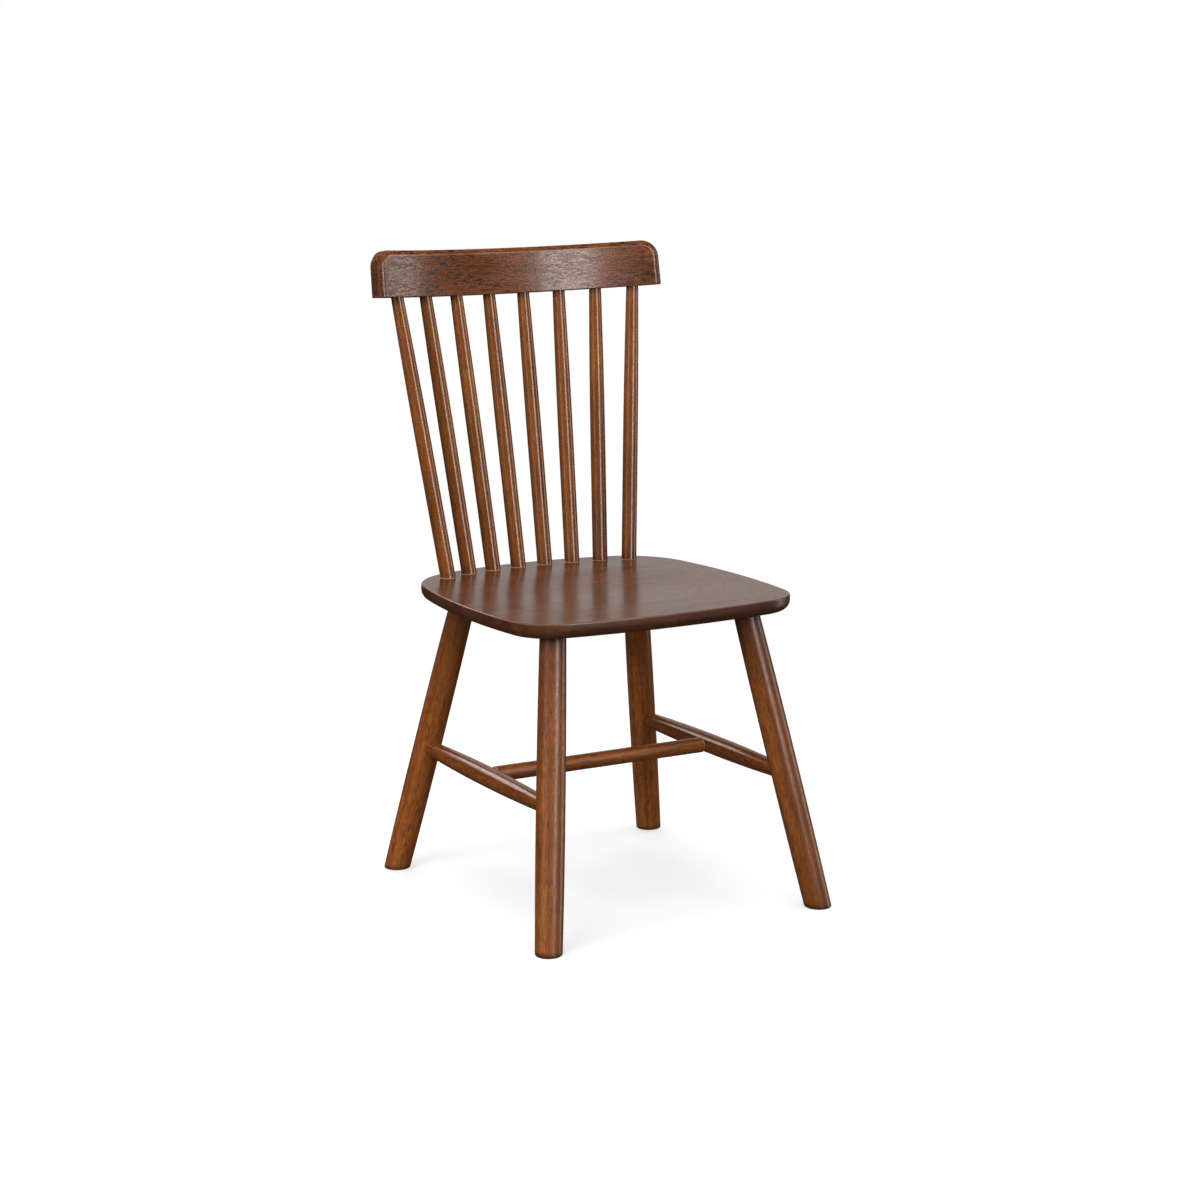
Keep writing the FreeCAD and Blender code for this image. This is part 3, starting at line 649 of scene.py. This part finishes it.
def makeSeat():
    outline, outward = seatOutline(seat["outlinePoints"])
    inset, height = seatEdge()
    edge = outline[None] - inset[:, None, None] * outward[None]
    # both faces: rings shrink to the middle
    middle = np.array([0, -seat["widestForward"]])
    topShare = np.concatenate([np.linspace(*seat["faceShares"], seat["faceRings"]), seat["lastShares"]])
    underShare = np.linspace(*seat["underShares"], seat["underRings"])
    topRings = middle + topShare[:, None, None] * (edge[:1] - middle)
    underRings = middle + underShare[:, None, None] * (edge[-1:] - middle)
    flat = np.concatenate([topRings, edge, underRings])
    levels = np.concatenate([0 * topShare, height, 0 * underShare + height[-1]])
    z = perPoint(levels, len(outline))
    # hollow = depth * (1 + cos(pi * d)) / 2, d being 0 in the middle and 1 at its rim
    aside = flat[..., 0] / seat["hollowHalfWidth"]
    ahead = (flat[..., 1] - seat["hollowMiddle"]) / seat["hollowHalfLength"]
    reach = np.clip(np.hypot(aside, ahead), 0, 1)
    edgeStart = len(topRings)
    z[:edgeStart] -= (seat["hollow"] * (1 + np.cos(math.pi * reach)) / 2)[:edgeStart]
    place = np.array([feetMiddle[0], feetMiddle[1], floorToSeat])
    rows = np.concatenate([flat, z[..., None]], -1) + place
    grain = rows * np.array(seat["grainStretch"]) + np.array(seat["grainPlace"])
    # painted highlight along the top's round, and painted shade on the board's edge from there down
    arris, stainAndShade = np.zeros((2, len(rows), 1))
    arris[edgeStart + 2:edgeStart + 7] = seat["topRoundHighlight"]
    stainAndShade[edgeStart + 8:] = seat["edgeShade"]
    return addPiece("seatBoard", "seat", "seatWood", rows, grain, arris, stainAndShade)


makeSeat()
print("seat made")


# Crest rail: a bent plank that leans back, rounded along its top and ends and crisp below
crest = {
    "bottomHeight": 0.8559,
    "setback": 0.2932,
    "lean": 8.5,
    "bend": 0.540,
    "length": 0.4975,
    "height": 0.0685,
    "thickness": 0.024,
    "flare": 1.5,
    "corner": 0.0265,
    "frontRound": 0.008,
    "frontDrop": 0.0085,
    "creaseAngle": 14,
    "backRound": 0.005,
    "bottomRound": 0.0008,
    # how finely it is divided, and the narrow strips beside its rounds
    "topPoints": 150,
    "sideSteps": 15,
    "cornerSteps": 18,
    "frontSteps": 12,
    "backSteps": 7,
    "bottomSteps": 5,
    "frontRims": (0.0030, 0.0010, 0.0003),
    "backRim": 0.0012,
    "bottomRim": 0.0004,
    # the painted highlight line along the front crease, and the stain in the end grain
    "highlightWidth": 0.0006,
    "endStain": 0.5,
    "grainPlace": (1.3, 4.2, -2.6),
}


def bentPlace(along, across, up):
    # bends the plank about an upright axis, leans it back and puts it on the spindles
    angle = along / crest["bend"]
    x = (crest["bend"] + across) * np.sin(angle)
    y = (crest["bend"] + across) * np.cos(angle) - crest["bend"]
    lean = math.radians(crest["lean"])
    back = y * math.cos(lean) + up * math.sin(lean)
    high = up * math.cos(lean) - y * math.sin(lean)
    base = fromFeet(0, crest["setback"], crest["bottomHeight"])
    return np.stack([x, back, high], -1) + base


def crestRim():
    # the plank's edge from the left end's foot, over the top, to the right end's foot.
    # returns place (along, up), outward normal, and how far the normal's rise counts there
    half, tall, corner = crest["length"] / 2, crest["height"], crest["corner"]
    topCount = crest["topPoints"]
    flare = math.radians(crest["flare"])
    slope = math.tan(flare)
    arcStart = tall - corner + corner * math.sin(flare)
    sideUp = np.linspace(crest["bottomRound"], arcStart, crest["sideSteps"])[:-1]
    side = np.stack([-(half - slope * sideUp), sideUp], -1)
    sideOut = np.tile([-math.cos(flare), math.sin(flare)], (len(side), 1))
    centre = np.array([-(half - slope * arcStart) + corner * math.cos(flare), tall - corner])
    turn = np.linspace(flare, math.pi / 2, crest["cornerSteps"])
    arcOut = np.stack([-np.cos(turn), np.sin(turn)], -1)
    arc = centre + corner * arcOut
    runAlong = np.linspace(centre[0], -centre[0], topCount)[1:-1]
    run = np.stack([runAlong, np.full(topCount - 2, tall)], -1)
    runOut = np.tile([0.0, 1.0], (len(run), 1))
    flip = np.array([-1, 1])
    place = np.concatenate([side, arc, run, arc[::-1] * flip, side[::-1] * flip])
    out = np.concatenate([sideOut, arcOut, runOut, arcOut[::-1] * flip, sideOut[::-1] * flip])
    rise = np.ones(len(place))
    rise[:len(side)] = (sideUp - sideUp[0]) / (arcStart - sideUp[0])
    rise[-len(side):] = rise[:len(side)][::-1]
    return place, out, rise, len(side)


def fillFace(rim, sideCount):
    # place(u, v) blends the rim's top with a straight bottom edge, and its two sides with each other
    left, right = rim[:sideCount + 1], rim[::-1][:sideCount + 1]
    top = rim[sideCount:len(rim) - sideCount]
    u = np.linspace(0, 1, len(top))[None, :, None]
    v = np.linspace(0, 1, sideCount + 1)[:, None, None]
    bottom = left[0] + (right[0] - left[0]) * u[0]
    corners = (1 - v) * bottom[None] + v * (left[-1] + (right[-1] - left[-1]) * u)
    sides = (1 - u) * left[:, None] + u * right[:, None]
    return (1 - v) * bottom[None] + v * top[None] + sides - corners


def crestSection():
    # from the flat front face round the edge to the flat back face: inset from the edge, and depth.
    # front inset = round * (1 - sin(turn)) / (1 - sin(crease))
    # front depth = half the thickness - drop * (1 - cos(turn) / cos(crease))
    half, crease = crest["thickness"] / 2, math.radians(crest["creaseAngle"])
    turn = np.linspace(crease, math.pi / 2, crest["frontSteps"])
    frontInset = crest["frontRound"] * (1 - np.sin(turn)) / (1 - math.sin(crease))
    frontDepth = half - crest["frontDrop"] * (1 - np.cos(turn) / math.cos(crease))
    backInset, backDrop = (values[::-1] for values in roundOff(crest["backRound"], crest["backSteps"]))
    rims = crest["frontRound"] + np.array(crest["frontRims"])
    inset = np.concatenate([rims, frontInset, backInset, [crest["backRound"] + crest["backRim"]]])
    depth = np.concatenate([np.full(len(rims), -half), -frontDepth, half - backDrop, [half]])
    return inset, depth


def crestFoot(front, back, band, depth):
    # the section's loop turns in by a small round below, and one flat face closes it
    half, small = crest["thickness"] / 2, crest["bottomRound"]
    loop = np.concatenate([
        np.stack([front[0, :-1, 0], np.full(front.shape[1] - 1, -half)], -1),
        np.stack([band[:-1, -1, 0], depth[:-1]], -1),
        np.stack([back[0, ::-1, 0], np.full(back.shape[1], half)], -1)[:-1],
        np.stack([band[::-1, 0, 0], depth[::-1]], -1)[:-1],
    ])
    ahead = np.roll(loop, -1, 0) - np.roll(loop, 1, 0)
    outward = np.stack([ahead[:, 1], -ahead[:, 0]], -1) / np.linalg.norm(ahead, axis=1)[:, None]
    height, inset = roundOff(small, crest["bottomSteps"])
    inset, height = np.append(inset, small + crest["bottomRim"]), np.append(height, 0)
    rings = loop[None] - inset[:, None, None] * outward[None]
    rings = np.concatenate([rings, rings[:, :1]], 1)
    count = rings.shape[1]
    flat = np.stack([rings[..., 0], perPoint(height, count)], -1)
    # painted highlight: a thin lighter line along the small round below
    wearAndHighlight = perPoint(np.exp(-((inset - small / 3) / small) ** 2), count)
    return flat, rings[..., 1], wearAndHighlight, 0 * wearAndHighlight


def makeCrest():
    # four patches, each with its place (along, up), its depth, its painted highlight lines and its end-grain
    # stain
    place, out, rise, sideCount = crestRim()
    inset, depth = crestSection()
    half = crest["thickness"] / 2
    inward = out * np.stack([np.ones(len(rise)), rise], -1)
    band = place[None] - inset[:, None, None] * inward[None]
    bandDepth = perPoint(depth, len(place))
    # painted highlight: a thin lighter line along the front crease
    wearAndHighlight = np.exp(-((inset - crest["frontRound"]) / crest["highlightWidth"]) ** 2)
    wearAndHighlight[depth > 0] = 0
    # end grain soaks up more stain: it grows with the square of how far the edge faces the ends
    edgeShare = np.clip(1 - inset / crest["frontRound"], 0, 1)
    bandStain = crest["endStain"] * (out[:, 0] ** 2)[None] * edgeShare[:, None]
    front, back = (fillFace(band[k], sideCount) for k in (0, -1))
    plain = np.zeros(front.shape[:2])
    patches = [
        (band, bandDepth, perPoint(wearAndHighlight, len(place)), bandStain),
        (front, plain - half, plain, plain),
        (back, plain + half, plain, plain),
        crestFoot(front, back, band, depth),
    ]
    flats, depths, arrises, stains = zip(*patches)
    grids = [bentPlace(flat[..., 0], sunk, flat[..., 1]) for flat, sunk in zip(flats, depths)]
    grains = [
        np.stack([flat[..., 0], sunk, flat[..., 1]], -1) + np.array(crest["grainPlace"])
        for flat, sunk in zip(flats, depths)
    ]
    return addPatches("crestRail", "crest_rail", "crestWood", grids, grains, arrises, stains)


makeCrest()
print("crest rail made")


# Spindles: even up to the start of the taper, then a long curve to the thinner top
spindles = {
    "count": 8,
    "footPitch": 0.0454,
    "topPitch": 0.0584,
    "inset": 0.028,
    "radius": 0.0114,
    "topRadius": 0.0093,
    "taperStart": 0.165,
    "footDepth": 0.015,
    "topDepth": 0.025,
    "sunkRing": 0.008,
    # rings lie flat on the seat, and turn square to the spindle over this height
    "levelFade": (0.004, 0.03),
    # a ring of lacquer stands proud at the foot, and is painted lighter as a highlight
    "lipWidth": 0.0008,
    "lipHeight": 0.0014,
    "lipRings": 6,
    "lipHighlight": 0.8,
    # painted shade at both ends, where they meet the seat and the crest rail, and on each spindle's lower
    # part, deeper on some than on others
    "footShade": 0.4,
    "footShadeFade": (0.002, 0.012),
    "topShade": 0.7,
    "topShadeReach": 0.014,
    "paintedShades": (0.15, 0.20, 0.12, 0.16, 0.12, 0.22, 0.40, 0.46),
    "lowShadeFade": (0.08, 0.36),
    "footRing": 0.006,
    "shaftStart": 0.02,
    "shaftRings": 90,
    "around": 64,
    "firstSeed": 20,  # for the place in the timber
}


def spindleFoot(place):
    # along the curve that lies inside the seat's back edge: its bow first, then its corner
    distance = abs(place)
    bow = seat["backBow"] - spindles["inset"]
    corner = seat["backCorner"] - spindles["inset"]
    tangent = math.pi / 2 - heading(seatBack, seatBackCorner)
    if distance <= bow * tangent:
        angle, centre, radius = distance / bow, seatBack, bow
    else:
        angle = tangent + (distance - bow * tangent) / corner
        centre, radius = seatBackCorner, corner
    x = centre[0] + radius * math.sin(angle)
    y = centre[1] + radius * math.cos(angle)
    return fromFeet(math.copysign(x, place), y, floorToSeat)


def makeSpindle(number):
    # radius = foot - (foot - top) * share ^ 2, share being 0 where the taper starts and 1 at the top
    step = number - (spindles["count"] - 1) / 2
    low = spindleFoot(step * spindles["footPitch"])
    high = bentPlace(np.array(step * spindles["topPitch"]), 0.0, 0.0)
    length = np.linalg.norm(high - low)
    lip = spindles["lipHeight"]
    along = np.concatenate([
        [-spindles["footDepth"]] * 2, [-spindles["sunkRing"]], np.linspace(0, lip, spindles["lipRings"]),
        [spindles["footRing"]], np.linspace(spindles["shaftStart"], length, spindles["shaftRings"]),
        [length + spindles["topDepth"]] * 2,
    ])
    taperStart = spindles["taperStart"]
    share = np.clip((along - taperStart) / (length - taperStart), 0, 1)
    radius = spindles["radius"] - (spindles["radius"] - spindles["topRadius"]) * share ** 2
    lipShare = np.clip(1 - along / lip, 0, 1)
    radius = radius + spindles["lipWidth"] * np.where(along >= 0, lipShare ** 2, 0)
    radius[[0, -1]] *= poleShare
    level = smoothFade(np.abs(along), *spindles["levelFade"])
    level[:2] = 0
    # painted highlight: the lip is painted lighter
    wearAndHighlight = np.where((along >= 0) & (along < lip), spindles["lipHighlight"], 0.0)
    # painted shade: darker at both ends and on the lower part
    footShade = spindles["footShade"] * smoothFade(along, *spindles["footShadeFade"])
    topShade = spindles["topShade"] * (1 - smoothFade(along, length - spindles["topShadeReach"], length))
    shadeDepth = spindles["paintedShades"][number] * smoothFade(along, *spindles["lowShadeFade"])
    stainAndShade = np.clip(np.where(along > 0.001, footShade, 0) + topShade + shadeDepth, 0, 1)
    turnedPiece(
        f"spindle{number + 1}", f"spindle_{number + 1}", "spindleWood", (low, high), along, radius, level,
        spindles["around"], spindles["firstSeed"] + number, wearAndHighlight, stainAndShade,
    )


for number in range(spindles["count"]):
    makeSpindle(number)
print("spindles made")


# Legs: a slight belly, cut level with the floor and under the seat, with a round tenon above
legs = {
    "frontTopHalfWidth": 0.1574,
    "frontTopReach": -0.1400,
    "rearTopHalfWidth": 0.1453,
    "rearTopReach": 0.1544,
    "footRadius": 0.0192,
    "middleRadius": 0.0205,
    "topRadius": 0.0185,
    "straight": 0.034,
    "tenonRadius": 0.0125,
    "tenonLength": 0.013,
    "footRound": 0.0028,
    "roundSteps": 9,
    "soleShares": (0.8, 0.97),
    "shoulder": 0.0004,
    "shaftGap": 0.004,
    # rings lie flat at the floor and under the seat, and square to the leg from here on
    "levelReach": 0.09,
    # painted shade: darker just above the floor, and just under the seat
    "footShade": 0.75,
    "footShadeFade": (0.002, 0.010),
    "topShade": 0.8,
    "topShadeFade": (0.016, 0.001),
    # painted shade on each leg: how dark it is, how much darker it gets towards the top, in the seat's
    # shadow, and over what length
    "paintedShades": {
        "front_left": (0.34, 0.25, 0.12),
        "front_right": (0.36, 0.30, 0.16),
        "rear_left": (0.0, 0.50, 0.22),
        "rear_right": (0.0, 0.05, 0.12),
    },
    "shaftRings": 110,
    "around": 96,
    "firstSeed": 40,
}
stretchers = {
    "height": 0.193,
    "endRadius": 0.0114,
    "middleRadius": 0.0147,
    "straight": 0.020,
    "past": 0.005,
    "crossBack": 0.006,
    "crossRadius": 0.0115,
    "crossRound": 0.0012,
    "crossTenonRadius": 0.006,
    "crossTenonLength": 0.014,
    "glueGap": 0.0001,
    "socketEase": 0.002,
    "shoulder": 0.0004,
    "roundSteps": 6,
    "headEnd": 0.002,
    "crossEnd": 0.02,
    "wornReach": 1.4,
    "sideRings": 90,
    "crossRings": 40,
    "around": 72,
    "seeds": {"left": 61, "right": 62, "cross": 63},
}


def legLine(end, side):
    hand = -1 if side == "left" else 1
    foot = feet[f"foot_{end}_{side}"]
    x = hand * legs[f"{end}TopHalfWidth"]
    return foot, fromFeet(x, legs[f"{end}TopReach"], undersideHeight)


def atHeight(line, height):
    low, high = line
    return low + (high - low) * (height - low[2]) / (high[2] - low[2])


def makeLeg(end, side, seed):
    # radius = middle - drop * share ^ 2, share growing from the even middle to the foot and to the top
    low, high = legLine(end, side)
    length = np.linalg.norm(high - low)
    steep = (high - low)[2] / length
    socket = np.linalg.norm(atHeight((low, high), stretchers["height"]) - low)
    tenon, tip, ease = legs["tenonRadius"], length + legs["tenonLength"], legs["footRound"]
    rimInset, rimHeight = roundOff(ease, legs["roundSteps"])
    gap = legs["shaftGap"]
    shaft = np.linspace(rimHeight[-1] / steep + gap, length - gap, legs["shaftRings"])
    halfEven = legs["straight"] / 2
    footDrop = legs["middleRadius"] - legs["footRadius"]
    topDrop = legs["middleRadius"] - legs["topRadius"]
    lowShare = np.clip((socket - halfEven - shaft) / (socket - halfEven), 0, 1)
    highShare = np.clip((shaft - socket - halfEven) / (length - socket - halfEven), 0, 1)
    shaftRadius = legs["middleRadius"] - footDrop * lowShare ** 2 - topDrop * highShare ** 2
    # sole, rounded rim, shaft, shoulder under the seat, tenon
    along = np.concatenate([[0] * 3, rimHeight / steep, shaft, [length] * 3, [tip] * 2])
    radius = np.concatenate([
        (legs["footRadius"] - ease) * np.array([poleShare, *legs["soleShares"]]),
        legs["footRadius"] - rimInset,
        shaftRadius,
        [legs["topRadius"], legs["topRadius"] - legs["shoulder"], tenon, tenon, tenon * poleShare],
    ])
    reach = legs["levelReach"]
    level = smoothFade(along, gap, reach) + 1 - smoothFade(along, length - reach, length - gap)
    level[-2:] = 0
    # painted shade: darker at the foot and under the seat, and each leg darker overall and towards the top,
    # in the seat's shadow
    footShade = legs["footShade"] * smoothFade(along, *legs["footShadeFade"])
    fadeStart, fadeEnd = (length - back for back in legs["topShadeFade"])
    topShade = legs["topShade"] * (1 - smoothFade(along, fadeStart, fadeEnd))
    shadeDepth, topShadeExtra, topShadeLength = legs["paintedShades"][f"{end}_{side}"]
    paintedShades = shadeDepth + topShadeExtra * (1 - smoothFade(along, length - topShadeLength, length))
    stainAndShade = np.clip(footShade + topShade + paintedShades, 0, 1)
    turnedPiece(
        f"leg{end.title()}{side.title()}", f"leg_{end}_{side}", "legWood", (low, high), along, radius, level,
        legs["around"], seed, stainAndShade=stainAndShade,
    )


legCorners = [(end, side) for end in ("front", "rear") for side in ("left", "right")]
for number, (end, side) in enumerate(legCorners):
    makeLeg(end, side, legs["firstSeed"] + number)
print("legs made")


# Stretchers: the side ones swell to their middle, and the cross one is even, with eased ends
def sideLine(side):
    return tuple(atHeight(legLine(end, side), stretchers["height"]) for end in ("front", "rear"))


def crossLine():
    ends = []
    for side in ("left", "right"):
        front, rear = sideLine(side)
        share = (stretchers["crossBack"] + feetMiddle[1] - front[1]) / (rear[1] - front[1])
        ends.append(front + (rear - front) * share)
    return ends


def makeSideStretcher(side):
    # radius = middle - swell * share ^ 2, share growing from the even middle to both ends
    front, rear = sideLine(side)
    length = np.linalg.norm(rear - front)
    middle = np.linalg.norm(crossLine()[0 if side == "left" else 1] - front)
    even = legs["middleRadius"] + stretchers["socketEase"]
    halfEven, past = stretchers["straight"] / 2, stretchers["past"]
    body = np.linspace(0, length, stretchers["sideRings"])
    along = np.concatenate([[-past] * 2, body, [length + past] * 2])
    swell = stretchers["middleRadius"] - stretchers["endRadius"]
    lowShare = np.clip((middle - halfEven - along) / (middle - halfEven - even), 0, 1)
    highShare = np.clip((along - middle - halfEven) / (length - even - middle - halfEven), 0, 1)
    radius = stretchers["middleRadius"] - swell * (lowShare ** 2 + highShare ** 2)
    radius[[0, -1]] *= poleShare
    turnedPiece(
        f"sideStretcher{side.title()}", f"side_stretcher_{side}", "stretcherWood", (front, rear),
        along, radius, 0 * along, stretchers["around"], stretchers["seeds"][side],
    )


def makeCrossStretcher():
    # even between two eased ends, each with its tenon
    left, right = crossLine()
    gap = stretchers["middleRadius"] + 2 * stretchers["glueGap"]
    length = np.linalg.norm(right - left) - 2 * gap
    axis = unit(right - left)
    low = left + axis * gap
    ease, thick, end = stretchers["crossRound"], stretchers["crossRadius"], stretchers["crossEnd"]
    tenon, reach = stretchers["crossTenonRadius"], stretchers["crossTenonLength"]
    easeInset, easeDrop = roundOff(ease, stretchers["roundSteps"])
    headAlong = np.concatenate([[-reach] * 2, [0] * 2, easeDrop, [ease + stretchers["headEnd"]]])
    shoulder = thick - ease - stretchers["shoulder"]
    headRadius = np.concatenate([[tenon * poleShare, tenon, tenon, shoulder], thick - easeInset, [thick]])
    body = np.linspace(end, length - end, stretchers["crossRings"])
    along = np.concatenate([headAlong, body, (length - headAlong)[::-1]])
    radius = np.concatenate([headRadius, np.full(len(body), thick), headRadius[::-1]])
    # the eased ends are rubbed, and the tenons aren't
    nearEnd = np.minimum(along, length - along) < ease * stretchers["wornReach"]
    wearAndHighlight = np.where((radius > tenon + 0.001) & nearEnd, 1.0, 0.0)
    turnedPiece(
        "crossStretcher", "cross_stretcher", "legWood", (low, low + axis * length),
        along, radius, 0 * along, stretchers["around"], stretchers["seeds"]["cross"], wearAndHighlight,
    )


for side in ("left", "right"):
    makeSideStretcher(side)
makeCrossStretcher()
print("stretchers made")
